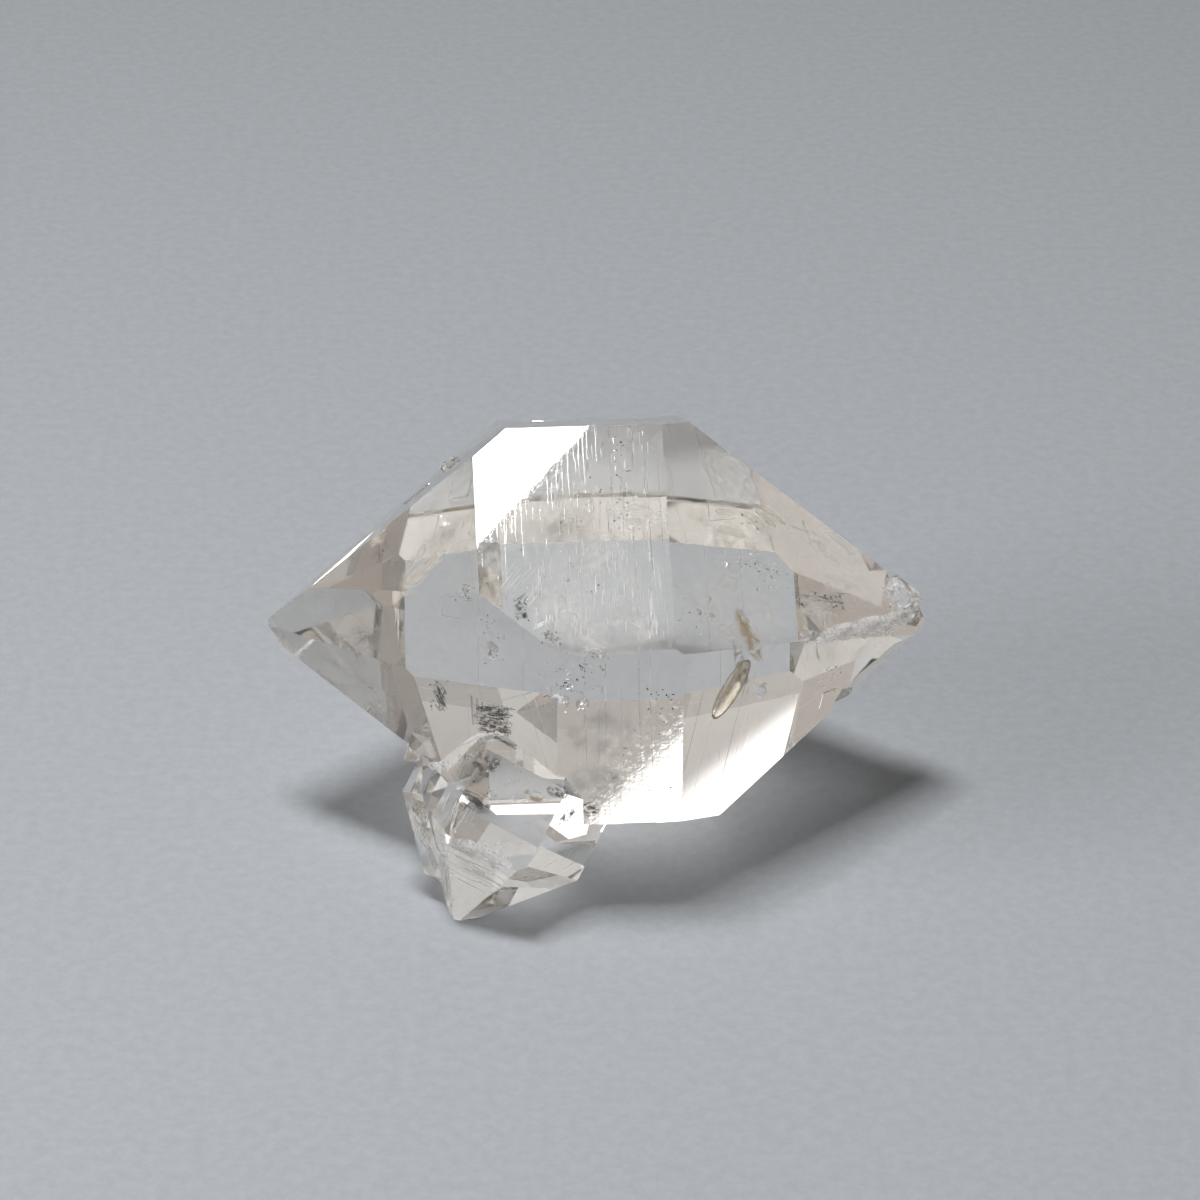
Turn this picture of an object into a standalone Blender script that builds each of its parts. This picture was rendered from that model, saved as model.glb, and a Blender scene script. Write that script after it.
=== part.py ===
"""Herkimer diamond: a doubly ended quartz crystal with a smaller crystal grown into its lower left side.

The specimen is one grown-together solid resting on its lowest prism edge and on the
free tip of the side crystal. +X runs along the main crystal, -Y is the front, +Z is up.
The origin is the bottom centre of the finished bounding box.
"""
import math

import bmesh
import bpy
from mathutils import Matrix, Vector

# Angle between the long axis of quartz and the normal of its end faces.
END_FACE_TILT = math.radians(51.79)

# Main crystal: where its middle lies and how its long axis points.
MAIN_CENTRE = Vector((-0.000236, -0.000412, -0.000714))
MAIN_BEARING = math.radians(3.67)
MAIN_RISE = math.radians(0.0)
MAIN_TURN = math.radians(-4.45)

# Distance of every face of the main crystal from its middle.
# Order round the axis: front, upper front, upper back, back, lower back, lower front.
MAIN_SIDES = (0.00936, 0.00877, 0.00892, 0.00860, 0.00885, 0.00866)
MAIN_RIGHT_END = (0.00938, 0.00870, 0.00963, 0.00968, 0.01050, 0.00997)
MAIN_LEFT_END = (0.00874, 0.01028, 0.00948, 0.00955, 0.00946, 0.00946)

# Side crystal: it leans, its free tip points down and its upper end is buried.
SIDE_CENTRE = Vector((-0.003795, -0.007254, -0.006319))
SIDE_BEARING = math.radians(40.08)
SIDE_RISE = math.radians(54.56)
SIDE_TURN = math.radians(-4.62)
SIDE_SIDES = (0.00368, 0.00354, 0.00338, 0.00350, 0.00350, 0.00339)
SIDE_UPPER_END = (0.00405, 0.00405, 0.00405, 0.00405, 0.00405, 0.00405)
SIDE_LOWER_END = (0.00396, 0.00411, 0.00389, 0.00386, 0.00362, 0.00372)

# Flank crystal: a thin one grown along the left side of the side crystal.
FLANK_CENTRE = Vector((-0.00712, -0.00745, -0.00724))
FLANK_BEARING = math.radians(150.0)
FLANK_RISE = math.radians(75.0)
FLANK_TURN = math.radians(12.0)
FLANK_RADIUS = 0.00130
FLANK_HALF_LENGTH = 0.00352

# Bud crystal: a tiny one between the side crystal and the main one.
BUD_CENTRE = Vector((-0.00790, -0.00525, -0.00455))
BUD_BEARING = math.radians(35.0)
BUD_RISE = math.radians(18.0)
BUD_TURN = math.radians(20.0)
BUD_RADIUS = 0.00085
BUD_HALF_LENGTH = 0.00115

# Loose grains of quartz grown on the faces: one beside the tan inclusion, two on the upper
# left edge. Each gives its middle, its bearing, rise and turn in degrees, its radius and
# its half length.
GRAINS = (
    (Vector((0.00704, -0.00623, -0.00090)), (-52.0, 18.0, 10.0), 0.00042, 0.00062),
    (Vector((-0.00672, 0.00366, 0.00508)), (20.0, 50.0, 5.0), 0.00028, 0.00044),
    (Vector((-0.00705, 0.00452, 0.00442)), (75.0, 25.0, 40.0), 0.00026, 0.00036),
)

# Broken right tip: break planes, each by where it meets the long axis and by how far its
# normal leans upward and to the front from that axis. The last one leaves the pale wedge
# along the edge that runs to the tip.
TIP_BREAKS = (
    (0.01535, -0.18, -0.10),
    (0.01590, 0.75, -0.35),
    (0.01600, -0.95, 0.40),
    (0.01416, 0.622, 0.866),
)

# Small crystals that healed over the break: where each lies along the axis, to the front and
# upward, its radius, its half length, and in degrees how far it is turned away from the
# large crystal in bearing, rise and turn.
TIP_CRYSTALS = (
    (0.01314, -0.00088, 0.00032, 0.00090, 0.00128, (6.0, -9.0, 14.0)),
    (0.01372, -0.00094, -0.00004, 0.00106, 0.00146, (-8.0, 7.0, 38.0)),
    (0.01432, -0.00080, -0.00036, 0.00074, 0.00084, (12.0, 10.0, 22.0)),
)

# Shell-shaped chips out of the break: along the axis, to the front, upward, radius.
TIP_SCOOPS = (
    (0.01517, -0.00109, 0.00009, 0.00040),
    (0.01545, -0.00085, -0.00055, 0.00030),
    (0.01480, 0.00020, -0.00020, 0.00052),
)

# Stepped notch on the lower edge of the right end.
NOTCH_ALONG = 0.01095
NOTCH_FRONT = 0.00300
NOTCH_UPPER = -0.00330
NOTCH_LENGTH = 0.00070
NOTCH_WIDTH = 0.00300
NOTCH_DEPTH = 0.00090

# Growth belts round the prism, the coarse steps of its cross striation. Each gives where
# it starts and ends along the axis and how far it stands proud of the side faces.
BELTS = (
    (-0.00040, 0.00055, 0.000014),
    (0.00212, 0.00262, 0.000018),
)

# Growth plates and tiny crystals in line with the main crystal, each standing a little
# proud of one of its faces. Each gives the face family (0 side, 1 right end, -1 left end),
# the face counted round the axis from the front, how far it lies along and across that
# face, how far it stands proud, its radius and its half length.
PLATES = (
    # Cluster at the left edge of the front face.
    (0, 0, -0.00205, 0.00215, 0.00011, 0.00056, 0.00080),
    (0, 0, -0.00175, 0.00312, 0.00008, 0.00040, 0.00058),
    (0, 0, -0.00112, 0.00198, 0.00012, 0.00046, 0.00064),
    (0, 0, -0.00108, 0.00376, 0.00006, 0.00034, 0.00052),
    (0, 0, -0.00044, 0.00272, 0.00008, 0.00040, 0.00056),
    # Ledges along the slanting edge of the left end.
    (0, 1, -0.00450, -0.00318, 0.00005, 0.00046, 0.00066),
    (0, 1, -0.00372, -0.00368, 0.00007, 0.00060, 0.00084),
    (0, 1, -0.00255, -0.00455, 0.00008, 0.00056, 0.00076),
    # Small parallel crystals on the faces at the back and below.
    (0, 2, -0.00225, 0.00215, 0.00005, 0.00062, 0.00095),
    (0, 3, -0.00190, 0.00110, 0.00004, 0.00110, 0.00170),
    (0, 3, 0.00320, -0.00330, 0.00004, 0.00080, 0.00125),
    # Small parallel crystals on the end faces.
    (1, 1, -0.00060, 0.00170, 0.00003, 0.00110, 0.00190),
    (1, 3, 0.00220, 0.00130, 0.00004, 0.00120, 0.00210),
    (1, 4, 0.00160, -0.00110, 0.00004, 0.00090, 0.00160),
    (-1, 2, 0.00190, 0.00080, 0.00004, 0.00105, 0.00180),
    (-1, 3, 0.00120, -0.00100, 0.00005, 0.00125, 0.00215),
    (-1, 4, 0.00240, -0.00090, 0.00004, 0.00110, 0.00190),
)

# Etched recess above the side crystal, cut in three shallow steps.
RECESS_ALONG = -0.00508
RECESS_FRONT = 0.00708
RECESS_UPPER = -0.00067
RECESS_LENGTH = 0.00200
RECESS_HEIGHT = 0.00150
RECESS_STEPS = 3
RECESS_STEP = 0.00010
RECESS_STEP_LENGTH = 0.00040
RECESS_STEP_HEIGHT = 0.00044
RECESS_STEP_LIFT = 0.00005

# Height of the main crystal's middle above the floor. The lowest prism edge and the
# free tip of the side crystal reach a little lower and are worn flat at that height.
MIDDLE_HEIGHT = 0.00999

# How finely the shell-shaped chips are faceted.
SCOOP_ROUNDNESS = 3

# Edge of the block each crystal is cut from, larger than any of them.
BLOCK_SIZE = 0.060


def crystal_frame(bearing, rise):
    """Return the axis, its level front direction and its upper direction."""
    axis = Vector((
        math.cos(rise) * math.cos(bearing),
        math.cos(rise) * math.sin(bearing),
        math.sin(rise),
    ))
    front = axis.cross(Vector((0.0, 0.0, 1.0))).normalized()
    upper = front.cross(axis).normalized()
    return axis, front, upper


def side_normals(bearing, rise, turn):
    """Return the six prism face normals of a crystal."""
    axis, front, upper = crystal_frame(bearing, rise)
    normals = []
    for step in range(6):
        angle = turn + math.radians(60.0 * step)
        normals.append(front * math.cos(angle) + upper * math.sin(angle))
    return normals


def clip(mesh, point, normal):
    """Cut away everything beyond a plane and close the cut with a face."""
    geometry = mesh.verts[:] + mesh.edges[:] + mesh.faces[:]
    result = bmesh.ops.bisect_plane(
        mesh,
        geom=geometry,
        dist=1.0e-8,
        plane_co=point,
        plane_no=normal,
        clear_outer=True,
    )
    rim = [item for item in result["geom_cut"] if isinstance(item, bmesh.types.BMEdge)]
    if rim:
        bmesh.ops.contextual_create(mesh, geom=rim)


def make_object(name, mesh, collection):
    """Turn an edit mesh into a named object."""
    bmesh.ops.recalc_face_normals(mesh, faces=mesh.faces[:])
    data = bpy.data.meshes.new(name)
    mesh.to_mesh(data)
    mesh.free()
    thing = bpy.data.objects.new(name, data)
    collection.objects.link(thing)
    return thing


def quartz(name, centre, pose, sides, far_end, near_end, collection):
    """Build one quartz crystal by cutting a block with its eighteen growth faces."""
    bearing, rise, turn = pose
    axis = crystal_frame(bearing, rise)[0]
    mesh = bmesh.new()
    bmesh.ops.create_cube(mesh, size=BLOCK_SIZE, matrix=Matrix.Translation(centre))
    for step, side in enumerate(side_normals(bearing, rise, turn)):
        far = side * math.sin(END_FACE_TILT) + axis * math.cos(END_FACE_TILT)
        near = side * math.sin(END_FACE_TILT) - axis * math.cos(END_FACE_TILT)
        clip(mesh, centre + side * sides[step], side)
        clip(mesh, centre + far * far_end[step], far)
        clip(mesh, centre + near * near_end[step], near)
    return make_object(name, mesh, collection)


def small_quartz(name, centre, pose, radius, half_length, collection):
    """Build a small even quartz crystal from its radius and half length."""
    apothem = radius * math.cos(math.radians(30.0))
    end = half_length * math.cos(END_FACE_TILT)
    return quartz(name, centre, pose, (apothem,) * 6, (end,) * 6, (end,) * 6, collection)


def growth_plate(plate, collection):
    """Build a small crystal in line with the main one and just proud of one of its faces."""
    family, face, slide, across, proud, radius, half_length = plate
    pose = (MAIN_BEARING, MAIN_RISE, MAIN_TURN)
    axis, front, upper = crystal_frame(MAIN_BEARING, MAIN_RISE)
    angle = MAIN_TURN + math.radians(60.0 * face)
    side = front * math.cos(angle) + upper * math.sin(angle)
    around = upper * math.cos(angle) - front * math.sin(angle)
    if family == 0:
        outward = side
        along = axis
        reach = MAIN_SIDES[face] - radius * math.cos(math.radians(30.0))
    else:
        outward = side * math.sin(END_FACE_TILT) + axis * math.cos(END_FACE_TILT) * family
        along = axis * math.sin(END_FACE_TILT) * family - side * math.cos(END_FACE_TILT)
        ends = MAIN_RIGHT_END if family > 0 else MAIN_LEFT_END
        reach = ends[face] - half_length * math.cos(END_FACE_TILT)
    centre = MAIN_CENTRE + outward * (reach + proud) + along * slide + around * across
    return small_quartz("growth_plate", centre, pose, radius, half_length, collection)


def belt(start, stop, proud, collection):
    """Build a short crystal round the prism that stands a little proud of all its sides."""
    pose = (MAIN_BEARING, MAIN_RISE, MAIN_TURN)
    sides = tuple(distance + proud for distance in MAIN_SIDES)
    far = tuple(
        distance * math.sin(END_FACE_TILT) + stop * math.cos(END_FACE_TILT) for distance in sides
    )
    near = tuple(
        distance * math.sin(END_FACE_TILT) - start * math.cos(END_FACE_TILT) for distance in sides
    )
    return quartz("growth_belt", MAIN_CENTRE, pose, sides, far, near, collection)


def ball(name, centre, radius, roundness, collection):
    """Build a faceted ball, for a shell-shaped cut."""
    mesh = bmesh.new()
    bmesh.ops.create_icosphere(
        mesh, subdivisions=roundness, radius=radius, matrix=Matrix.Translation(centre),
    )
    return make_object(name, mesh, collection)


def combine(target, other, operation):
    """Join or cut with an exact Boolean, then discard the second object."""
    modifier = target.modifiers.new("boolean", "BOOLEAN")
    modifier.operation = operation
    modifier.solver = "EXACT"
    modifier.object = other
    bpy.context.view_layer.objects.active = target
    bpy.ops.object.modifier_apply(modifier=modifier.name)
    bpy.data.objects.remove(other, do_unlink=True)


def block(name, centre, axes, size, collection):
    """Build a cutting block lined up with three given directions."""
    turn = Matrix((axes[0], axes[1], axes[2])).transposed().to_4x4()
    scale = Matrix.Diagonal((size[0], size[1], size[2], 1.0))
    mesh = bmesh.new()
    bmesh.ops.create_cube(mesh, size=1.0, matrix=Matrix.Translation(centre) @ turn @ scale)
    return make_object(name, mesh, collection)


def quartz_material():
    """Clear quartz with a faint warm tint."""
    material = bpy.data.materials.new("clear_quartz")
    material.use_nodes = True
    shader = material.node_tree.nodes["Principled BSDF"]
    shader.inputs["Base Color"].default_value = (0.86, 0.83, 0.79, 1.0)
    shader.inputs["Roughness"].default_value = 0.04
    shader.inputs["IOR"].default_value = 1.544
    shader.inputs["Transmission Weight"].default_value = 1.0
    return material


def build():
    """Build the specimen and leave it as one object."""
    for thing in list(bpy.data.objects):
        bpy.data.objects.remove(thing, do_unlink=True)
    parts = bpy.data.collections.new("herkimer_diamond")
    bpy.context.scene.collection.children.link(parts)
    cutters = bpy.data.collections.new("cutters")
    bpy.context.scene.collection.children.link(cutters)

    main_pose = (MAIN_BEARING, MAIN_RISE, MAIN_TURN)
    axis, front, upper = crystal_frame(MAIN_BEARING, MAIN_RISE)
    crystal = quartz(
        "herkimer_crystal", MAIN_CENTRE, main_pose,
        MAIN_SIDES, MAIN_RIGHT_END, MAIN_LEFT_END, parts,
    )

    side_pose = (SIDE_BEARING, SIDE_RISE, SIDE_TURN)
    side = quartz(
        "side_crystal", SIDE_CENTRE, side_pose,
        SIDE_SIDES, SIDE_UPPER_END, SIDE_LOWER_END, cutters,
    )
    combine(crystal, side, "UNION")

    flank_pose = (FLANK_BEARING, FLANK_RISE, FLANK_TURN)
    flank = small_quartz(
        "flank_crystal", FLANK_CENTRE, flank_pose, FLANK_RADIUS, FLANK_HALF_LENGTH, cutters,
    )
    combine(crystal, flank, "UNION")

    bud_pose = (BUD_BEARING, BUD_RISE, BUD_TURN)
    bud = small_quartz("bud_crystal", BUD_CENTRE, bud_pose, BUD_RADIUS, BUD_HALF_LENGTH, cutters)
    combine(crystal, bud, "UNION")

    for start, stop, proud in BELTS:
        combine(crystal, belt(start, stop, proud, cutters), "UNION")

    for plate in PLATES:
        combine(crystal, growth_plate(plate, cutters), "UNION")

    corner = MAIN_CENTRE + axis * RECESS_ALONG + front * RECESS_FRONT + upper * RECESS_UPPER
    slope = (front * math.sin(END_FACE_TILT) - axis * math.cos(END_FACE_TILT)).normalized()
    along_slope = upper.cross(slope).normalized()
    for step in range(RECESS_STEPS):
        length = RECESS_LENGTH - RECESS_STEP_LENGTH * step
        height = RECESS_HEIGHT - RECESS_STEP_HEIGHT * step
        depth = RECESS_STEP * (step + 1)
        cutter = block(
            "recess", corner + upper * RECESS_STEP_LIFT * step, (along_slope, upper, slope),
            (length, height, 2.0 * depth), cutters,
        )
        combine(crystal, cutter, "DIFFERENCE")

    notch_centre = MAIN_CENTRE + axis * NOTCH_ALONG + front * NOTCH_FRONT + upper * NOTCH_UPPER
    cutter = block(
        "notch", notch_centre, (axis, front, upper),
        (NOTCH_LENGTH, NOTCH_WIDTH, NOTCH_DEPTH), cutters,
    )
    combine(crystal, cutter, "DIFFERENCE")

    mesh = bmesh.new()
    mesh.from_mesh(crystal.data)
    for along, lean_up, lean_front in TIP_BREAKS:
        normal = (axis + upper * lean_up + front * lean_front).normalized()
        clip(mesh, MAIN_CENTRE + axis * along, normal)
    bmesh.ops.recalc_face_normals(mesh, faces=mesh.faces[:])
    mesh.to_mesh(crystal.data)
    mesh.free()

    for along, forward, height, radius, half_length, turned in TIP_CRYSTALS:
        centre = MAIN_CENTRE + axis * along + front * forward + upper * height
        pose = tuple(own + math.radians(angle) for own, angle in zip(main_pose, turned))
        healed = small_quartz("tip_crystal", centre, pose, radius, half_length, cutters)
        combine(crystal, healed, "UNION")
    for along, forward, height, radius in TIP_SCOOPS:
        centre = MAIN_CENTRE + axis * along + front * forward + upper * height
        combine(crystal, ball("tip_scoop", centre, radius, SCOOP_ROUNDNESS, cutters), "DIFFERENCE")

    for centre, angles, radius, half_length in GRAINS:
        pose = tuple(math.radians(angle) for angle in angles)
        grain = small_quartz("grain", centre, pose, radius, half_length, cutters)
        combine(crystal, grain, "UNION")

    mesh = bmesh.new()
    mesh.from_mesh(crystal.data)
    floor = Vector((0.0, 0.0, MAIN_CENTRE.z - MIDDLE_HEIGHT))
    clip(mesh, floor, Vector((0.0, 0.0, -1.0)))
    corners = [vertex.co.copy() for vertex in mesh.verts]
    low = Vector(min(corner[i] for corner in corners) for i in range(3))
    high = Vector(max(corner[i] for corner in corners) for i in range(3))
    middle = (low + high) / 2.0
    bmesh.ops.translate(mesh, verts=mesh.verts[:], vec=Vector((-middle.x, -middle.y, -low.z)))
    bmesh.ops.recalc_face_normals(mesh, faces=mesh.faces[:])
    mesh.to_mesh(crystal.data)
    mesh.free()

    crystal.data.materials.clear()
    crystal.data.materials.append(quartz_material())
    cutters.hide_render = True


build()
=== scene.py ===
import math
import random

import bpy
from mathutils import Matrix, Vector


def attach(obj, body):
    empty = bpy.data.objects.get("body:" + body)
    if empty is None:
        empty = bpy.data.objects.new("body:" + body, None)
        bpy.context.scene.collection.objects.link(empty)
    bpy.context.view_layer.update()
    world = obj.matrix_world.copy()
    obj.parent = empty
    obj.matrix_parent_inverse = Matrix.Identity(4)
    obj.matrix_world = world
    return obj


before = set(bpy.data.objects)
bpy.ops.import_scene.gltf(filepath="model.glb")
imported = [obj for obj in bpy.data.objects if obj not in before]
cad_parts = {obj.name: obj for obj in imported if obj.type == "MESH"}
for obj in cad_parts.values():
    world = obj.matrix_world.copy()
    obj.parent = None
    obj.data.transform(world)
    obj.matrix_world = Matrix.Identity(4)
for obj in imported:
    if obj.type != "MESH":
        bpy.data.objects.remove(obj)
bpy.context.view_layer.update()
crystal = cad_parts["herkimer_crystal"]

MM = 0.001

# The camera: where it aims, how high it stands, how far away, and its lens in mm.
CAMERA_AIM = Vector((0.0000916, 0.0014369, 0.010704))
CAMERA_HEIGHT_ANGLE = math.radians(30.0)
CAMERA_DISTANCE = 0.20417
CAMERA_LENS = 135.0
CAMERA_SENSOR = 36.0
CAMERA_NEAREST = 0.005
CAMERA_FARTHEST = 20.0
PICTURE_WIDTH = 1200

# The long axis of the large crystal, which its growth lines run across.
CRYSTAL_BEARING = math.radians(3.67)

# Quartz bends light by 1.544. Gas in a healed crack bends it back by as much, and the oil
# that such crystals trap, which bends it by 1.47, does so a little.
QUARTZ_IOR = 1.544
OIL_IOR = 1.47
GAS_FILM_IOR = 1.0 / QUARTZ_IOR
OIL_IN_QUARTZ_IOR = OIL_IOR / QUARTZ_IOR


def linear(value):
    """One sRGB channel as linear light."""
    if value <= 0.04045:
        return value / 12.92
    return ((value + 0.055) / 1.055) ** 2.4


def colour(hex_code):
    """An sRGB hex colour as linear red, green, blue and alpha."""
    channels = [int(hex_code[i:i + 2], 16) / 255.0 for i in (1, 3, 5)]
    return tuple(linear(channel) for channel in channels) + (1.0,)


def add_node(tree, kind, settings=None, inputs=None):
    """Add a shader node, apply its settings, and give each input a value or a link."""
    made = tree.nodes.new(kind)
    for key, value in (settings or {}).items():
        setattr(made, key, value)
    for key, value in (inputs or {}).items():
        if isinstance(value, bpy.types.NodeSocket):
            tree.links.new(value, made.inputs[key])
        else:
            made.inputs[key].default_value = value
    return made


def blank_material(name):
    """A material with nothing in its node tree."""
    material = bpy.data.materials.new(name)
    material.use_nodes = True
    material.node_tree.nodes.clear()
    return material, material.node_tree


def pattern_scale(size_in_mm):
    """The scale that gives a pattern of that size on coordinates in metres."""
    return 1.0 / (size_in_mm * MM)


# The camera's own directions, used to put a mark where the photograph shows it.
TOWARDS_CAMERA = Vector((0.0, -math.cos(CAMERA_HEIGHT_ANGLE), math.sin(CAMERA_HEIGHT_ANGLE)))
PICTURE_RIGHT = Vector((1.0, 0.0, 0.0))
PICTURE_UP = TOWARDS_CAMERA.cross(PICTURE_RIGHT)
CAMERA_PLACE = CAMERA_AIM + TOWARDS_CAMERA * CAMERA_DISTANCE
LENS_IN_PIXELS = CAMERA_LENS / CAMERA_SENSOR * PICTURE_WIDTH


def look_at(pixel):
    """Whether the photograph shows the crystal at a pixel, and the place and outward normal there."""
    across = pixel[0] - PICTURE_WIDTH / 2
    down = pixel[1] - PICTURE_WIDTH / 2
    direction = PICTURE_RIGHT * across - PICTURE_UP * down - TOWARDS_CAMERA * LENS_IN_PIXELS
    found, place, normal, _ = crystal.ray_cast(CAMERA_PLACE, direction.normalized())
    return found, place, normal


def seen_at(pixel):
    """The place on the crystal, and its outward normal, at a given pixel."""
    found, place, normal = look_at(pixel)
    if not found:
        raise ValueError("no crystal at pixel %s" % (pixel,))
    return place, normal.normalized()


def surface_axes(pixel, along_pixel):
    """A place on a face, with the direction along the face to a second pixel, and the normal."""
    place, normal = seen_at(pixel)
    other, _ = seen_at(along_pixel)
    along = other - place
    along = (along - normal * along.dot(normal)).normalized()
    return place, along, normal


def noise(tree, coordinates, size_in_mm, detail=3.0, roughness=0.55):
    """A cloudy pattern of that size."""
    made = add_node(tree, "ShaderNodeTexNoise", {}, {
        "Vector": coordinates, "Scale": pattern_scale(size_in_mm), "Detail": detail, "Roughness": roughness})
    return made.outputs["Fac"]


def remap(tree, value, start, stop, low, high):
    """Values from start to stop, moved smoothly to low to high."""
    made = add_node(tree, "ShaderNodeMapRange", {"interpolation_type": "SMOOTHSTEP"}, {
        "Value": value, "From Min": start, "From Max": stop, "To Min": low, "To Max": high})
    return made.outputs["Result"]


def combine(tree, operation, first, second):
    """Two values in one sum."""
    return add_node(tree, "ShaderNodeMath", {"operation": operation}, {0: first, 1: second}).outputs[0]


def blend_colours(tree, factor, first, second):
    """From the first colour to the second as the factor goes from zero to one."""
    return add_node(tree, "ShaderNodeMix", {"data_type": "RGBA"}, {
        0: factor, 6: colour(first), 7: colour(second)}).outputs[2]


# Faces of the crystal, each named by a pixel of the photograph that shows it.
UPPER_FRONT_FACE = (600, 480)
FRONT_FACE = (640, 760)
WEDGE_FACE = (870, 632)
SIDE_CRYSTAL_END = (470, 870)
BROKEN_TIP = (905, 596)
# How far off its plane a point still counts as on a face, and how far the frosting reaches in mm.
FACE_MARGIN = 0.05 * MM
TIP_RADIUS = 1.5


def plane_mask(tree, coordinates, pixel):
    """One on the flat face seen at a pixel, and zero elsewhere."""
    place, normal = seen_at(pixel)
    height = add_node(tree, "ShaderNodeVectorMath", {"operation": "DOT_PRODUCT"},
                      {0: coordinates, 1: tuple(normal)}).outputs["Value"]
    gap = combine(tree, "SUBTRACT", height, place.dot(normal))
    size = add_node(tree, "ShaderNodeMath", {"operation": "ABSOLUTE"}, {0: gap}).outputs[0]
    return combine(tree, "LESS_THAN", size, FACE_MARGIN)


def growth_lines(tree, coordinates, spacing, length, start, stop):
    """Fine lines that run across the long axis, with the given spacing and length in mm."""
    turned = add_node(tree, "ShaderNodeMapping", {}, {
        "Vector": coordinates, "Rotation": (0.0, 0.0, -CRYSTAL_BEARING)})
    stretched = add_node(tree, "ShaderNodeVectorMath", {"operation": "MULTIPLY"}, {
        0: turned.outputs[0],
        1: (pattern_scale(spacing), pattern_scale(length), pattern_scale(length))})
    lines = add_node(tree, "ShaderNodeTexNoise", {}, {
        "Vector": stretched.outputs[0], "Scale": 1.0, "Detail": 1.0, "Roughness": 0.4})
    return remap(tree, lines.outputs["Fac"], start, stop, 0.0, 1.0)


def ball_mask(tree, coordinates, pixel, radius):
    """One at the place seen at a pixel, fading to zero at that radius in mm."""
    place, _ = seen_at(pixel)
    away = add_node(tree, "ShaderNodeVectorMath", {"operation": "DISTANCE"},
                    {0: coordinates, 1: tuple(place)})
    return remap(tree, away.outputs["Value"], radius * 0.5 * MM, radius * MM, 1.0, 0.0)


def product(tree, *values):
    """The values multiplied together."""
    result = values[0]
    for value in values[1:]:
        result = combine(tree, "MULTIPLY", result, value)
    return result


def total(tree, *values):
    """The values added together."""
    result = values[0]
    for value in values[1:]:
        result = combine(tree, "ADD", result, value)
    return result


# Pattern sizes on the quartz in mm: its cloudy patches, its fine etching, the faint bloom all
# over it, and the spacing and length of its growth lines.
CLOUD_SIZE = 2.2
GRAIN_SIZE = 0.30
BLOOM_SIZE = 3.5
LINE_SPACING = 0.10
LINE_LENGTH = 2.6
# How hazy each face is, from 0, clear, to 1, white: an even share and the share that is grainy.
UPPER_HAZE, UPPER_GRAIN = 0.05, 0.12
FRONT_HAZE, FRONT_GRAIN = 0.01, 0.10
END_HAZE, END_GRAIN = 0.10, 0.16
WEDGE_HAZE, WEDGE_GRAIN = 0.06, 0.12
TIP_HAZE, TIP_GRAIN = 0.16, 0.50
LINE_HAZE = 0.14
BLOOM_LEAST, BLOOM_MOST = 0.01, 0.06
MOST_HAZE = 0.9
# How rough the plain faces are, and what the etching adds on the others.
PLAIN_ROUGHNESS = 0.012
FRONT_ROUGHNESS = 0.08
UPPER_ROUGHNESS = 0.02
TIP_ROUGHNESS = 0.30
END_ROUGHNESS = 0.04
# How high the etching stands on each face, as shares of the relief, and the relief in metres.
FRONT_RELIEF = 0.12
TIP_RELIEF = 0.35
LINE_RELIEF = 0.06
RELIEF_HEIGHT = 0.003 * MM
# How strongly the faint smoky tint builds up with depth.
SMOKE_DENSITY = 6.5


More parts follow.
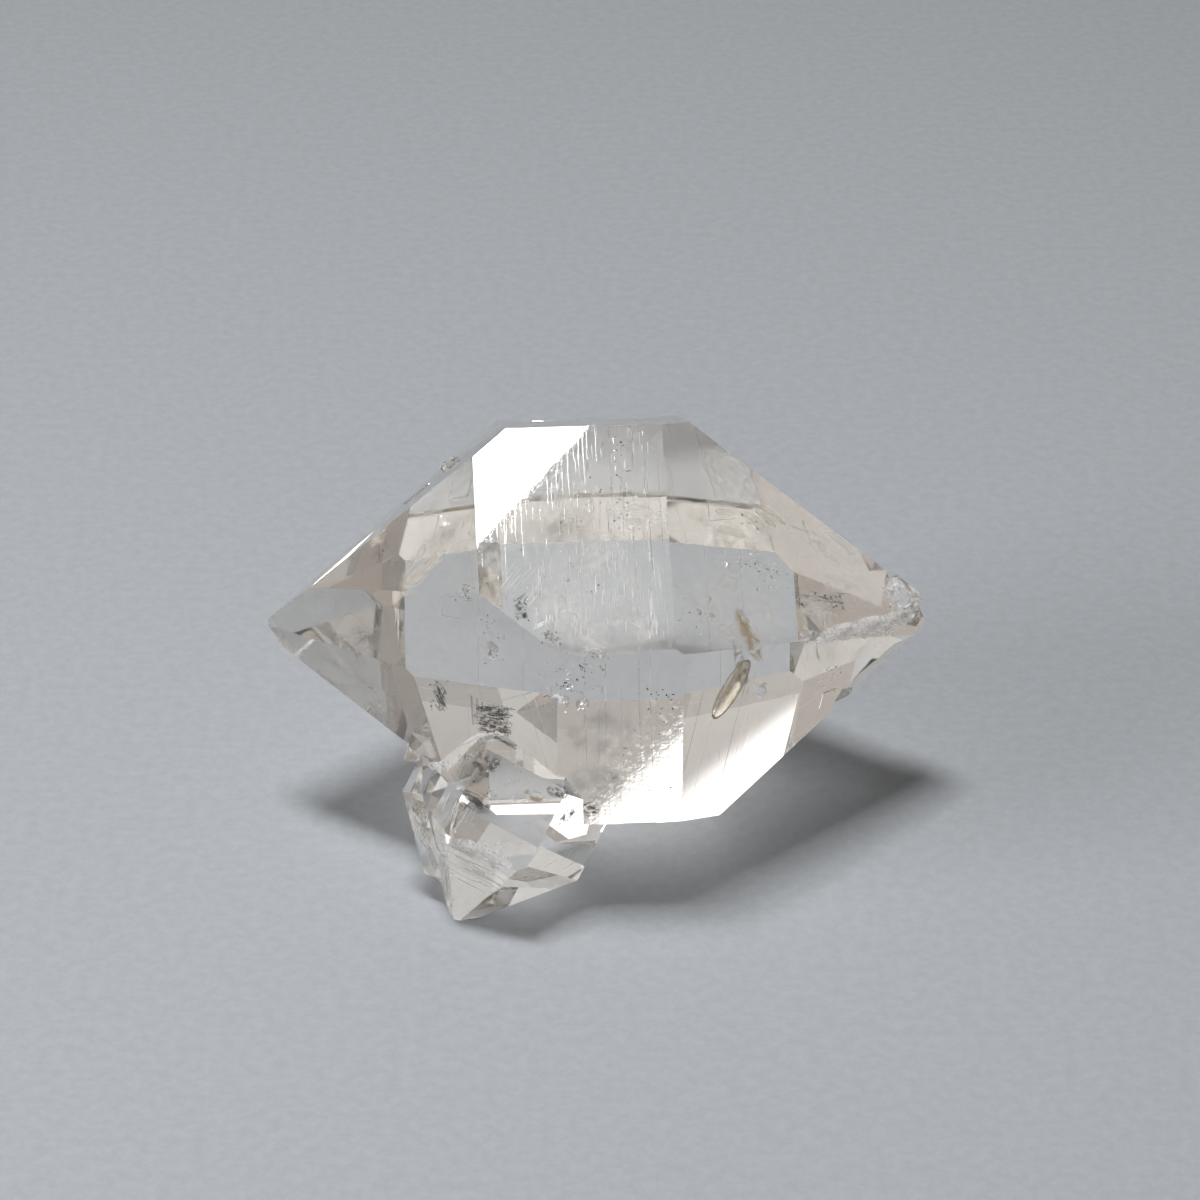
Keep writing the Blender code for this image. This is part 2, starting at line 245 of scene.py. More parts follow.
def quartz_material():
    """Clear quartz: see-through, faintly smoky in its depth, with etched faces and a frosted broken tip."""
    material, tree = blank_material("clear_quartz")
    place = add_node(tree, "ShaderNodeTexCoord").outputs["Object"]
    upper = plane_mask(tree, place, UPPER_FRONT_FACE)
    front = plane_mask(tree, place, FRONT_FACE)
    wedge = plane_mask(tree, place, WEDGE_FACE)
    end = plane_mask(tree, place, SIDE_CRYSTAL_END)
    tip = ball_mask(tree, place, BROKEN_TIP, TIP_RADIUS)
    cloud = remap(tree, noise(tree, place, CLOUD_SIZE, 1.0), 0.40, 0.64, 0.2, 1.0)
    grain = remap(tree, noise(tree, place, GRAIN_SIZE, 2.0, 0.65), 0.42, 0.72, 0.0, 1.0)
    lines = growth_lines(tree, place, LINE_SPACING, LINE_LENGTH, 0.60, 0.70)
    haze = total(
        tree,
        product(tree, upper, total(tree, UPPER_HAZE, product(tree, cloud, grain, UPPER_GRAIN))),
        product(tree, upper, lines, cloud, LINE_HAZE),
        product(tree, front, total(tree, FRONT_HAZE, product(tree, cloud, grain, FRONT_GRAIN))),
        product(tree, end, total(tree, END_HAZE, product(tree, grain, END_GRAIN))),
        product(tree, wedge, total(tree, WEDGE_HAZE, product(tree, grain, WEDGE_GRAIN))),
        product(tree, tip, total(tree, TIP_HAZE, product(tree, grain, TIP_GRAIN))),
        remap(tree, noise(tree, place, BLOOM_SIZE, 1.0), 0.45, 0.70, BLOOM_LEAST, BLOOM_MOST))
    clear = combine(tree, "SUBTRACT", 1.0, combine(tree, "MINIMUM", haze, MOST_HAZE))
    rough = total(
        tree, PLAIN_ROUGHNESS,
        product(tree, front, grain, FRONT_ROUGHNESS),
        product(tree, upper, grain, UPPER_ROUGHNESS),
        product(tree, tip, grain, TIP_ROUGHNESS),
        product(tree, end, END_ROUGHNESS))
    etched = total(tree, product(tree, front, FRONT_RELIEF), product(tree, tip, TIP_RELIEF))
    relief = total(tree, product(tree, grain, etched), product(tree, lines, upper, LINE_RELIEF))
    bump = add_node(tree, "ShaderNodeBump", {}, {
        "Strength": 1.0, "Distance": RELIEF_HEIGHT, "Height": relief})
    shader = add_node(tree, "ShaderNodeBsdfPrincipled", {}, {
        "Base Color": colour("#FFFFFF"), "Roughness": rough, "IOR": QUARTZ_IOR,
        "Transmission Weight": clear, "Normal": bump.outputs["Normal"]})
    depth = add_node(tree, "ShaderNodeVolumeAbsorption", {}, {
        "Color": colour("#F0DAB0"), "Density": SMOKE_DENSITY})
    add_node(tree, "ShaderNodeOutputMaterial", {}, {
        "Surface": shader.outputs["BSDF"], "Volume": depth.outputs["Volume"]})
    return material


crystal.data.materials.clear()
crystal.data.materials.append(quartz_material())
for polygon in crystal.data.polygons:
    polygon.use_smooth = False


def deselect():
    """Leave nothing selected, so that the next operator acts on the new piece alone."""
    if bpy.context.object and bpy.context.object.mode != "OBJECT":
        bpy.ops.object.mode_set(mode="OBJECT")
    bpy.ops.object.select_all(action="DESELECT")


def finish_piece(piece, name, material):
    """Name a new piece, give it its material and tie it to the crystal's body."""
    piece.name = name
    piece.data.name = name
    piece.data.materials.clear()
    piece.data.materials.append(material)
    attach(piece, "root")
    return piece


def scatter(name, model, spots, material):
    """Copies of a small model, each with its own place, turn and size, joined as one piece."""
    deselect()
    for place, turn, size in spots:
        copy = model.copy()
        copy.data = model.data.copy()
        bpy.context.scene.collection.objects.link(copy)
        copy.matrix_world = Matrix.LocRotScale(place, turn, size)
        copy.select_set(True)
        bpy.context.view_layer.objects.active = copy
    bpy.data.objects.remove(model)
    bpy.ops.object.join()
    bpy.ops.object.transform_apply(location=True, rotation=True, scale=True)
    return finish_piece(bpy.context.object, name, material)


def rough_grain(seed):
    """An uneven grain one unit in radius."""
    deselect()
    bpy.ops.mesh.primitive_ico_sphere_add(subdivisions=1, radius=1.0)
    bpy.ops.object.mode_set(mode="EDIT")
    bpy.ops.mesh.select_all(action="SELECT")
    bpy.ops.transform.vertex_random(offset=0.35, uniform=0.3, seed=seed)
    bpy.ops.object.mode_set(mode="OBJECT")
    return bpy.context.object


def thin_flake(seed):
    """A thin flake with a ragged outline, one unit in radius."""
    deselect()
    bpy.ops.mesh.primitive_cylinder_add(vertices=7, radius=1.0, depth=0.10)
    bpy.ops.object.mode_set(mode="EDIT")
    bpy.ops.mesh.select_all(action="SELECT")
    bpy.ops.transform.vertex_random(offset=0.16, uniform=0.2, seed=seed)
    bpy.ops.object.mode_set(mode="OBJECT")
    return bpy.context.object


def any_turn(chance):
    """A turn in any direction."""
    axis = Vector((chance.gauss(0, 1), chance.gauss(0, 1), chance.gauss(0, 1))).normalized()
    return Matrix.Rotation(chance.uniform(0.0, math.tau), 3, axis).to_quaternion()


def facing_turn(normal, chance, spread):
    """A turn that lays a flat flake along a face, give or take a spread in radians."""
    tilt = Vector((chance.gauss(0, spread), chance.gauss(0, spread), chance.gauss(0, spread)))
    facing = (normal + tilt).normalized().to_track_quat("Z", "Y")
    return facing @ Matrix.Rotation(chance.uniform(0.0, math.tau), 3, "Z").to_quaternion()


def gas_film_material():
    """A film of gas in a healed crack: it mirrors light inside the quartz, so it sparkles."""
    material, tree = blank_material("gas_film")
    shader = add_node(tree, "ShaderNodeBsdfPrincipled", {}, {
        "Base Color": colour("#FFFFFF"), "Roughness": 0.06, "IOR": GAS_FILM_IOR,
        "Transmission Weight": 1.0})
    add_node(tree, "ShaderNodeOutputMaterial", {}, {"Surface": shader.outputs["BSDF"]})
    return material


def black_carbon_material():
    """Glossy black carbon, the specks that grew into the quartz."""
    material, tree = blank_material("black_carbon")
    place = add_node(tree, "ShaderNodeTexCoord").outputs["Object"]
    rough = remap(tree, noise(tree, place, 0.05), 0.3, 0.7, 0.25, 0.6)
    shader = add_node(tree, "ShaderNodeBsdfPrincipled", {}, {
        "Base Color": colour("#2A2420"), "Roughness": rough, "IOR": 1.6})
    add_node(tree, "ShaderNodeOutputMaterial", {}, {"Surface": shader.outputs["BSDF"]})
    return material


def milky_material(name, hex_code, rough):
    """Broken quartz or stained matter that scatters the light it gets."""
    material, tree = blank_material(name)
    place = add_node(tree, "ShaderNodeTexCoord").outputs["Object"]
    uneven = remap(tree, noise(tree, place, 0.2), 0.3, 0.7, rough * 0.7, rough * 1.3)
    shader = add_node(tree, "ShaderNodeBsdfPrincipled", {}, {
        "Base Color": colour(hex_code), "Roughness": uneven, "IOR": 1.6})
    add_node(tree, "ShaderNodeOutputMaterial", {}, {"Surface": shader.outputs["BSDF"]})
    return material


# Where the photograph shows black specks: middle pixel, half width, half height, and how many.
SPECK_PATCHES = (
    ((622, 480), 8, 48, 26),
    ((600, 470), 40, 40, 26),
    ((560, 560), 40, 40, 10),
    ((660, 705), 14, 18, 24),
    ((576, 680), 22, 14, 10),
    ((523, 607), 7, 12, 16),
    ((552, 636), 10, 7, 18),
    ((640, 790), 40, 18, 12),
    ((492, 720), 18, 13, 60),
    ((438, 697), 9, 15, 34),
    ((752, 521), 8, 8, 12),
    ((470, 790), 22, 20, 14),
    ((820, 600), 26, 9, 26),
    ((900, 600), 8, 12, 8),
    ((566, 685), 3, 3, 5),
    ((581, 670), 3, 3, 5),
    ((603, 670), 3, 3, 5),
)
# Where it shows bright sparkles inside.
SPARKLE_PATCHES = (
    ((490, 640), 10, 26, 22),
    ((462, 598), 9, 4, 12),
    ((566, 690), 30, 28, 24),
    ((594, 657), 10, 7, 12),
    ((742, 557), 22, 9, 14),
    ((775, 575), 14, 12, 16),
    ((812, 632), 12, 6, 10),
    ((700, 620), 20, 26, 12),
    ((492, 720), 20, 15, 60),
    ((896, 592), 12, 14, 40),
    ((870, 630), 26, 7, 60),
    ((500, 790), 30, 22, 24),
    ((830, 680), 12, 12, 18),
    ((640, 740), 24, 16, 16),
    ((620, 560), 60, 50, 30),
    ((443, 765), 14, 4, 36),
    ((470, 756), 14, 4, 36),
    ((480, 850), 26, 8, 30),
)


# How far a flake may lean away from the face that it lies under, in radians.
FLAKE_LEAN = 0.5


def pixel_near(middle, half_width, half_height, chance):
    """A pixel drawn by chance in a patch of the picture."""
    return (
        middle[0] + chance.uniform(-1, 1) * half_width,
        middle[1] + chance.uniform(-1, 1) * half_height,
    )


def patch_spots(patches, seed, sizes, depths, loose, flat=None):
    """Spots under patches of the picture, with sizes and depths drawn from two ranges in mm."""
    chance = random.Random(seed)
    spots = []
    for middle, half_width, half_height, count in patches:
        for _ in range(count):
            found, place, normal = look_at(pixel_near(middle, half_width, half_height, chance))
            if not found:
                continue
            depth = chance.uniform(*depths) * MM
            size = chance.uniform(*sizes) * MM
            turn = any_turn(chance) if loose else facing_turn(normal, chance, FLAKE_LEAN)
            scale = Vector((1.0, 1.0, 1.0)) * size
            if flat:
                scale = Vector((size, size * chance.uniform(0.5, 1.0), size * flat))
            spots.append((place - normal * depth, turn, scale))
    return spots


speck_spots = patch_spots(
    SPECK_PATCHES, seed=11, sizes=(0.025, 0.075), depths=(0.03, 0.30), loose=True, flat=0.6)
scatter("black_specks", rough_grain(seed=4), speck_spots, black_carbon_material())
flake_spots = patch_spots(
    SPARKLE_PATCHES, seed=31, sizes=(0.025, 0.085), depths=(0.02, 0.30), loose=False, flat=0.15)
scatter("white_flakes", rough_grain(seed=5), flake_spots, milky_material("white_fracture", "#FFFFFF", 0.25))
# Only the first patches, on the large crystal, hold gas as well.
GAS_PATCHES = SPARKLE_PATCHES[:8]
gas_spots = patch_spots(GAS_PATCHES, seed=23, sizes=(0.05, 0.16), depths=(0.25, 0.80), loose=False)
scatter("gas_flakes", thin_flake(seed=7), gas_spots, gas_film_material())


def laid_turn(along, normal):
    """The turn that lays a model's length along a direction and its top along a normal."""
    across = normal.cross(along)
    return Matrix((along, across, normal)).transposed().to_quaternion()


# Fine scratches and growth lines: middle pixel, half width, half height, direction in the
# picture in degrees, shortest and longest half length in mm, and how many.
SCRATCH_PATCHES = (
    ((600, 578), 72, 58, 93, 0.12, 0.75, 110),
    ((600, 480), 55, 50, 95, 0.10, 0.45, 50),
    ((519, 584), 15, 18, 50, 0.25, 0.75, 18),
    ((543, 478), 14, 12, 36, 0.20, 0.60, 12),
    ((557, 490), 3, 5, 80, 0.60, 0.90, 3),
    ((655, 600), 8, 40, 95, 0.30, 0.90, 16),
    ((478, 868), 26, 20, -28, 0.30, 1.20, 34),
    ((462, 815), 12, 16, 62, 0.30, 0.80, 10),
    ((425, 815), 10, 26, 68, 0.30, 0.90, 14),
    ((560, 860), 14, 14, 30, 0.20, 0.50, 8),
)
# Dark hatching of the same form.
HATCH_PATCHES = (
    ((494, 719), 16, 13, -4, 0.12, 0.55, 90),
    ((440, 697), 5, 13, -62, 0.12, 0.35, 26),
    ((522, 606), 4, 9, 52, 0.15, 0.35, 12),
    ((826, 598), 26, 8, -14, 0.15, 0.60, 16),
    ((476, 800), 12, 7, -32, 0.20, 0.50, 12),
)
# Half the usual width of a line and how deep it lies in mm, how far its direction strays in
# degrees, how many pixels off its direction is read, and how alike two normals on one face are.
SCRATCH_WIDTH = 0.012
SCRATCH_DEPTH = 0.012
SCRATCH_STRAY = 2.5
SCRATCH_REACH = 4.0
SAME_FACE = 0.95


def scratch_spots(patches, seed):
    """Places, turns and sizes of thin lines, each lying just under the face of its patch."""
    chance = random.Random(seed)
    spots = []
    for middle, half_width, half_height, direction, shortest, longest, count in patches:
        _, face = seen_at(middle)
        for _ in range(count):
            pixel = pixel_near(middle, half_width, half_height, chance)
            angle = math.radians(direction + chance.gauss(0.0, SCRATCH_STRAY))
            other = (pixel[0] + SCRATCH_REACH * math.cos(angle), pixel[1] - SCRATCH_REACH * math.sin(angle))
            place, along, normal = surface_axes(pixel, other)
            if normal.dot(face) < SAME_FACE:
                continue
            width = SCRATCH_WIDTH * chance.uniform(0.5, 1.6) * MM
            size = Vector((chance.uniform(shortest, longest) * MM, width, width * 0.5))
            spots.append((place - normal * SCRATCH_DEPTH * MM, laid_turn(along, normal), size))
    return spots


scatter("growth_scratches", rough_grain(seed=9), scratch_spots(SCRATCH_PATCHES, seed=41),
        milky_material("bruised_quartz", "#FFFFFF", 0.30))
scatter("dark_hatching", rough_grain(seed=9), scratch_spots(HATCH_PATCHES, seed=43), black_carbon_material())

# Films inside the crystal: first and last pixel along the film, its half width and its depth in mm.
CREAM_FILMS = (
    ((545, 508), (600, 506), 0.90, 0.50),
    ((600, 507), (664, 512), 0.70, 0.70),
    ((690, 512), (780, 527), 1.00, 0.60),
    ((395, 590), (450, 520), 0.90, 0.60),
    ((740, 490), (800, 535), 0.50, 0.50),
)
WHITE_FILMS = (
    ((549, 702), (563, 697), 0.28, 0.03),
    ((532, 630), (547, 620), 0.10, 0.03),
    ((447, 832), (455, 797), 0.17, 0.20),
    ((440, 812), (450, 790), 0.12, 0.15),
    ((892, 576), (906, 588), 0.40, 0.10),
    ((429, 846), (435, 871), 0.22, 0.08),
    ((484, 646), (496, 652), 0.30, 0.40),
    ((443, 852), (448, 898), 0.16, 0.08),
)
# Cracks in the pale wedge that look upward, like a stair's treads, so that they catch the light.
TREAD_FILMS = (
    ((816, 638), (846, 634), 0.30, 0.26),
    ((838, 634), (872, 630), 0.34, 0.28),
    ((862, 630), (894, 626), 0.34, 0.28),
    ((884, 626), (914, 620), 0.28, 0.24),
    ((826, 630), (856, 624), 0.26, 0.26),
    ((850, 624), (886, 618), 0.28, 0.26),
    ((880, 618), (908, 612), 0.26, 0.24),
    ((452, 841), (480, 855), 0.30, 0.24),
    ((478, 854), (512, 871), 0.30, 0.24),
)
# How strongly the treads turn up, beside the normal of the face.
TREAD_LIFT = 1.6
MILKY_FILMS = (
    ((520, 580), (650, 600), 3.20, 0.40),
    ((560, 630), (670, 632), 1.20, 0.30),
    ((690, 600), (790, 610), 2.40, 0.50),
    ((700, 450), (760, 490), 1.40, 0.40),
    ((800, 520), (870, 572), 1.10, 0.30),
    ((455, 860), (500, 868), 1.20, 0.10),
    ((412, 790), (424, 846), 0.45, 0.10),
    ((524, 815), (556, 835), 0.70, 0.15),
    ((486, 548), (508, 592), 0.60, 0.10),
    ((820, 575), (880, 606), 0.80, 0.25),
    ((786, 606), (842, 602), 0.60, 0.30),
    ((590, 770), (622, 796), 0.80, 0.30),
)
# Where the side crystal looks smoky.
SMOKY_FILMS = (
    ((458, 800), (492, 812), 0.40, 0.30),
)
TAN_FILMS = (
    ((742, 600), (760, 668), 0.55, 0.20),
    ((735, 640), (752, 700), 0.35, 0.30),
    ((520, 792), (545, 800), 0.30, 0.50),
)
GREY_FILMS = (
    ((560, 735), (640, 740), 1.60, 0.50),
    ((566, 775), (632, 805), 1.10, 0.60),
)
# Dark films inside the crystal: dark patches, and in the last two, below the front face, painted shade.
DARK_AND_SHADE_FILMS = (
    ((477, 713), (510, 713), 0.42, 0.34),
    ((477, 728), (512, 733), 0.36, 0.34),
    ((433, 684), (444, 710), 0.30, 0.20),
    ((514, 596), (528, 620), 0.20, 0.10),
    ((540, 632), (566, 642), 0.16, 0.10),
    ((461, 791), (491, 809), 0.14, 0.05),
    ((548, 780), (568, 790), 0.30, 0.60),
    ((470, 770), (500, 760), 0.50, 0.60),
    # These two are painted shade: dark sheets that darken the lower front where the quartz shows only shade.
    ((560, 830), (580, 806), 0.40, 0.40),
    ((580, 808), (600, 814), 0.45, 0.25),
)


# A film is modelled two units across: its segments each way, its ripple and its thickness, and
# half the height in mm that one unit of thickness stands for.
FILM_SEGMENTS = 12
FILM_RIPPLE = 0.02
FILM_THICKNESS = 0.02
FILM_HEIGHT = 0.5
FILM_SEED = 13


def rippled_film(seed):
    """A slightly rippled film two units across, closed by a little thickness."""
    deselect()
    bpy.ops.mesh.primitive_grid_add(x_subdivisions=FILM_SEGMENTS, y_subdivisions=FILM_SEGMENTS, size=2.0)
    bpy.ops.object.mode_set(mode="EDIT")
    bpy.ops.mesh.select_all(action="SELECT")
    bpy.ops.transform.vertex_random(offset=FILM_RIPPLE, uniform=0.5, seed=seed)
    bpy.ops.object.mode_set(mode="OBJECT")
    film = bpy.context.object
    shell = film.modifiers.new("thickness", "SOLIDIFY")
    shell.thickness = FILM_THICKNESS
    bpy.ops.object.modifier_apply(modifier=shell.name)
    return film


def film_spots(films, lift=0.0):
    """Places, turns and sizes of films from one pixel to another, along the face or lifted to look up."""
    spots = []
    for first, last, half_width, depth in films:
        middle = ((first[0] + last[0]) / 2.0, (first[1] + last[1]) / 2.0)
        place, face = seen_at(middle)
        start, _ = seen_at(first)
        stop, _ = seen_at(last)
        normal = (face + Vector((0.0, 0.0, lift))).normalized()
        along = stop - start
        along = along - normal * along.dot(normal)
        size = Vector((along.length / 2.0, half_width * MM, FILM_HEIGHT * MM))
        spots.append((place - face * depth * MM, laid_turn(along.normalized(), normal), size))
    return spots


def film_material(name, hex_code, cover, pattern, contrast, streak, rough, fade=0.30):
    """A patchy film with streaks along it, which thins out from the fade distance to its rim."""
    material, tree = blank_material(name)
    coordinates = add_node(tree, "ShaderNodeTexCoord")
    own = add_node(tree, "ShaderNodeVectorMath", {"operation": "DISTANCE"}, {
        0: coordinates.outputs["UV"], 1: (0.5, 0.5, 0.0)}).outputs["Value"]
    rim = remap(tree, own, fade, 0.50, 1.0, 0.0)
    patches = remap(tree, noise(tree, coordinates.outputs["Object"], pattern, 2.0, 0.5),
                    0.5 - contrast, 0.5 + contrast, 0.0, 1.0)
    stretched = add_node(tree, "ShaderNodeVectorMath", {"operation": "MULTIPLY"}, {
        0: coordinates.outputs["UV"], 1: (2.0, streak, 1.0)})
    streaks = add_node(tree, "ShaderNodeTexNoise", {}, {
        "Vector": stretched.outputs[0], "Scale": 1.0, "Detail": 1.0, "Roughness": 0.5})
    threads = remap(tree, streaks.outputs["Fac"], 0.35, 0.60, 0.3, 1.0)
    alpha = product(tree, rim, patches, threads, cover)
    shader = add_node(tree, "ShaderNodeBsdfPrincipled", {}, {
        "Base Color": colour(hex_code), "Roughness": rough, "IOR": 1.2, "Alpha": alpha})
    add_node(tree, "ShaderNodeOutputMaterial", {}, {"Surface": shader.outputs["BSDF"]})
    return material


def lay_films(name, films, material, lift=0.0):
    """One group of films as a single piece."""
    return scatter(name, rippled_film(FILM_SEED), film_spots(films, lift), material)


# For each film: its colour, how well it covers, the size of its patches in mm and their contrast,
# how many streaks cross it, and how rough it is.
lay_films("cream_films", CREAM_FILMS, film_material(
    "cream_cloud", "#FFFAF0", cover=0.90, pattern=1.4, contrast=0.25, streak=3.0, rough=0.6))
lay_films("white_films", WHITE_FILMS, film_material(
    "white_crack", "#FFFFFF", cover=4.00, pattern=0.5, contrast=0.40, streak=3.0, rough=0.5))
lay_films("tread_films", TREAD_FILMS, film_material(
    "crack_tread", "#FFFFFF", cover=2.50, pattern=0.35, contrast=0.30, streak=5.0, rough=0.5), TREAD_LIFT)
lay_films("tan_films", TAN_FILMS, film_material(
    "tan_stain", "#CDB893", cover=0.85, pattern=0.4, contrast=0.12, streak=14.0, rough=0.5))
lay_films("milky_films", MILKY_FILMS, film_material(
    "milky_cloud", "#FBFAF7", cover=0.60, pattern=1.3, contrast=0.30, streak=3.0, rough=0.6))
lay_films("smoky_films", SMOKY_FILMS, film_material(
    "smoky_patch", "#8C867E", cover=1.10, pattern=0.5, contrast=0.30, streak=1.0, rough=0.6, fade=0.15))
lay_films("grey_films", GREY_FILMS, film_material(
    "grey_cloud", "#CFCDC8", cover=0.26, pattern=0.9, contrast=0.20, streak=3.0, rough=0.6))
# The dark films: dark patches, and in part painted shade below the front face.
lay_films("dark_and_shade_films", DARK_AND_SHADE_FILMS, film_material(
    "dark_patch_and_painted_shade", "#5C554D", cover=0.85, pattern=0.2, contrast=0.12, streak=9.0, rough=0.4))

# The tan inclusion: a flat almond with a thicker rim. Its two end pixels, then its sizes in mm,
# the rim's thickness as a share of them, and how finely both are divided.
ALMOND_FIRST = (716, 719)
ALMOND_LAST = (750, 662)
ALMOND_HALF_WIDTH = 0.66
ALMOND_HALF_THICKNESS = 0.22
ALMOND_DEPTH = 0.26
RIM_THICKNESS = 0.035
ALMOND_SEGMENTS = 24
ALMOND_RINGS = 12
RIM_SEGMENTS = 48
RIM_SIDES = 8


def almond_spot():
    """Where the tan inclusion lies, how it is turned, and its half sizes."""
    place, turn, size = film_spots(((ALMOND_FIRST, ALMOND_LAST, ALMOND_HALF_WIDTH, ALMOND_DEPTH),))[0]
    size.z = ALMOND_HALF_THICKNESS * MM
    return place, turn, size


def tan_material():
    """Tan inclusion: trapped oil and silt, cloudy, pitted and half see-through."""
    material, tree = blank_material("tan_inclusion")
    place = add_node(tree, "ShaderNodeTexCoord").outputs["Object"]
    mottle = remap(tree, noise(tree, place, 0.35, 4.0, 0.7), 0.35, 0.65, 0.0, 1.0)
    bump = add_node(tree, "ShaderNodeBump", {}, {
        "Strength": 1.0, "Distance": 0.03 * MM, "Height": noise(tree, place, 0.3, 3.0)})
    shader = add_node(tree, "ShaderNodeBsdfPrincipled", {}, {
        "Base Color": blend_colours(tree, mottle, "#D8CCB2", "#FFFDF6"), "Roughness": 0.25,
        "IOR": OIL_IN_QUARTZ_IOR, "Transmission Weight": 0.65, "Normal": bump.outputs["Normal"]})
    add_node(tree, "ShaderNodeOutputMaterial", {}, {"Surface": shader.outputs["BSDF"]})
    return material


deselect()
bpy.ops.mesh.primitive_uv_sphere_add(segments=ALMOND_SEGMENTS, ring_count=ALMOND_RINGS, radius=1.0)
scatter("tan_almond", bpy.context.object, (almond_spot(),), tan_material())
deselect()
bpy.ops.mesh.primitive_torus_add(
    major_segments=RIM_SEGMENTS, minor_segments=RIM_SIDES, major_radius=1.0, minor_radius=RIM_THICKNESS)
scatter("almond_rim", bpy.context.object, (almond_spot(),), milky_material("honey_rim", "#BFAE8C", 0.35))


# Floor: a wide sheet of pale grey card, a hair below the crystal's feet.
FLOOR_SIZE = 4.0
FLOOR_DROP = 0.05 * MM


def card_material():
    """Matt grey card with a very fine grain."""
    material, tree = blank_material("grey_card")
    place = add_node(tree, "ShaderNodeTexCoord").outputs["Object"]
    shade = blend_colours(tree, remap(tree, noise(tree, place, 0.6, 6.0, 0.7), 0.3, 0.7, 0.0, 1.0),
                          "#A4A8AD", "#ADB1B6")
    bump = add_node(tree, "ShaderNodeBump", {}, {
        "Strength": 0.3, "Distance": 0.01 * MM, "Height": noise(tree, place, 0.35, 3.0)})
    shader = add_node(tree, "ShaderNodeBsdfPrincipled", {}, {
        "Base Color": shade, "Roughness": 0.62, "Normal": bump.outputs["Normal"]})
    add_node(tree, "ShaderNodeOutputMaterial", {}, {"Surface": shader.outputs["BSDF"]})
    return material


deselect()
bpy.ops.mesh.primitive_plane_add(size=FLOOR_SIZE, location=(0.0, 0.0, -FLOOR_DROP))
floor = bpy.context.object
floor.name = "floor"
floor.data.materials.append(card_material())

# An oblong softbox hangs almost straight above, a little to the left, turned askew.
KEY_PLACE = Vector((-0.0348, -0.0165, 0.300))
KEY_LENGTH = 0.098
KEY_WIDTH = 0.0525
KEY_TURN = math.radians(139.0)
KEY_RADIANCE = 45.0
# A weaker square one stands low at the left.
FILL_PLACE = Vector((-0.25, -0.11, 0.12))
FILL_SIZE = 0.13
FILL_RADIANCE = 8.0


def soft_light(name, place, length, width, facing, radiance, seen_inside):
    """An oblong soft light, as bright as its radiance says, mirrored and seen in the crystal or not."""
    data = bpy.data.lights.new(name, "AREA")
    data.shape = "RECTANGLE"
    data.size = length
    data.size_y = width
    data.energy = radiance * math.pi * length * width
    lamp = bpy.data.objects.new(name, data)
    bpy.context.scene.collection.objects.link(lamp)
    lamp.location = place
    lamp.rotation_euler = facing
    lamp.visible_camera = False
    lamp.visible_glossy = seen_inside
    lamp.visible_transmission = seen_inside
    return lamp


soft_light("key_light", KEY_PLACE, KEY_LENGTH, KEY_WIDTH, (0.0, 0.0, KEY_TURN), KEY_RADIANCE, True)
soft_light("fill_light", FILL_PLACE, FILL_SIZE, FILL_SIZE, FILL_PLACE.to_track_quat("Z", "Y").to_euler(),
           FILL_RADIANCE, False)


# The room's strength near the floor and overhead, and its share of that at the left and right.
ROOM_LOW, ROOM_HIGH = 0.45, 0.82
ROOM_LEFT, ROOM_RIGHT = 1.15, 0.74
# Two leaning white cards stand behind: how steep their upper edges are, and how bright they are.
CARD_LEAN = 1.8
CARD_RADIANCE = 1.9
# Where the upper, left and right edges of each card start and stop, as parts of a direction.
MIDDLE_CARD = ((0.227, 0.241), (-0.20, -0.10), (0.08, 0.16))
LEFT_CARD = ((1.058, 1.076), (-0.52, -0.48), (-0.38, -0.34))
# The cards fade in between these two directions towards the back.
CARD_BEHIND = (0.35, 0.70)


def leaning_card(tree, leaning, across, edges):
    """One on a leaning card and zero elsewhere."""
    top, left, right = edges
    return product(
        tree, remap(tree, leaning, top[0], top[1], 1.0, 0.0),
        remap(tree, across, left[0], left[1], 0.0, 1.0),
        remap(tree, across, right[0], right[1], 1.0, 0.0))


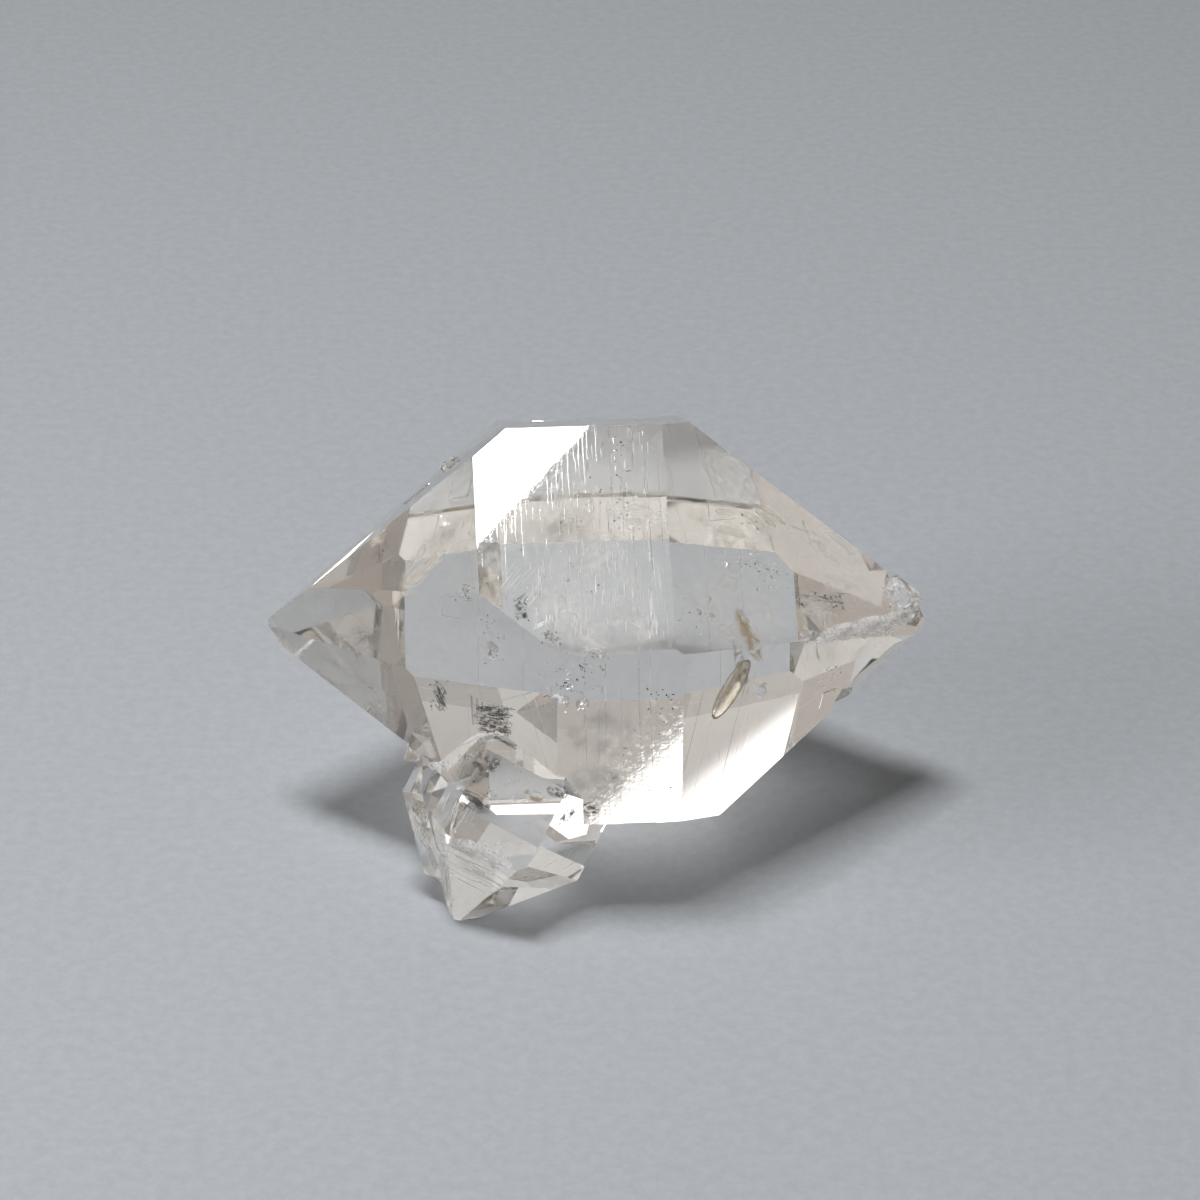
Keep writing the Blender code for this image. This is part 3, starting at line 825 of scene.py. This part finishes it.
def studio_world():
    """A dim warm room: lighter overhead, darker to the right, with two leaning cards behind."""
    world = bpy.data.worlds.new("studio")
    world.use_nodes = True
    tree = world.node_tree
    tree.nodes.clear()
    direction = add_node(tree, "ShaderNodeTexCoord").outputs["Generated"]
    parts = add_node(tree, "ShaderNodeSeparateXYZ", {}, {0: direction})
    across, behind, height = parts.outputs["X"], parts.outputs["Y"], parts.outputs["Z"]
    room = combine(tree, "MULTIPLY", remap(tree, height, 0.3, 0.95, ROOM_LOW, ROOM_HIGH),
                   remap(tree, across, -0.7, 0.9, ROOM_LEFT, ROOM_RIGHT))
    leaning = combine(tree, "SUBTRACT", height, combine(tree, "MULTIPLY", across, CARD_LEAN))
    middle = leaning_card(tree, leaning, across, MIDDLE_CARD)
    left = leaning_card(tree, leaning, across, LEFT_CARD)
    at_back = remap(tree, behind, CARD_BEHIND[0], CARD_BEHIND[1], 0.0, 1.0)
    card = product(tree, total(tree, middle, left), at_back, CARD_RADIANCE)
    warm = blend_colours(tree, remap(tree, height, 0.15, 0.80, 0.0, 1.0), "#F8EEE6", "#FDFCFA")
    light = add_node(tree, "ShaderNodeBackground", {}, {"Color": warm, "Strength": room})
    white = add_node(tree, "ShaderNodeBackground", {}, {"Color": colour("#FFFFFF"), "Strength": card})
    both = add_node(tree, "ShaderNodeAddShader", {}, {0: light.outputs[0], 1: white.outputs[0]})
    add_node(tree, "ShaderNodeOutputWorld", {}, {"Surface": both.outputs[0]})
    world.cycles_visibility.diffuse = False
    return world


bpy.context.scene.world = studio_world()

camera_data = bpy.data.cameras.new("camera")
camera_data.sensor_width = CAMERA_SENSOR
camera_data.lens = CAMERA_LENS
camera_data.clip_start = CAMERA_NEAREST
camera_data.clip_end = CAMERA_FARTHEST
camera = bpy.data.objects.new("camera", camera_data)
bpy.context.scene.collection.objects.link(camera)
camera.location = CAMERA_PLACE
camera.rotation_euler = TOWARDS_CAMERA.to_track_quat("Z", "Y").to_euler()
bpy.context.scene.camera = camera

# Light turns many times inside the quartz before it leaves.
QUARTZ_BOUNCES = 14
GLOSSY_BOUNCES = 10
FILM_BOUNCES = 12

bpy.context.scene.view_settings.view_transform = "Standard"
bpy.context.scene.cycles.max_bounces = QUARTZ_BOUNCES
bpy.context.scene.cycles.transmission_bounces = QUARTZ_BOUNCES
bpy.context.scene.cycles.glossy_bounces = GLOSSY_BOUNCES
bpy.context.scene.cycles.transparent_max_bounces = FILM_BOUNCES
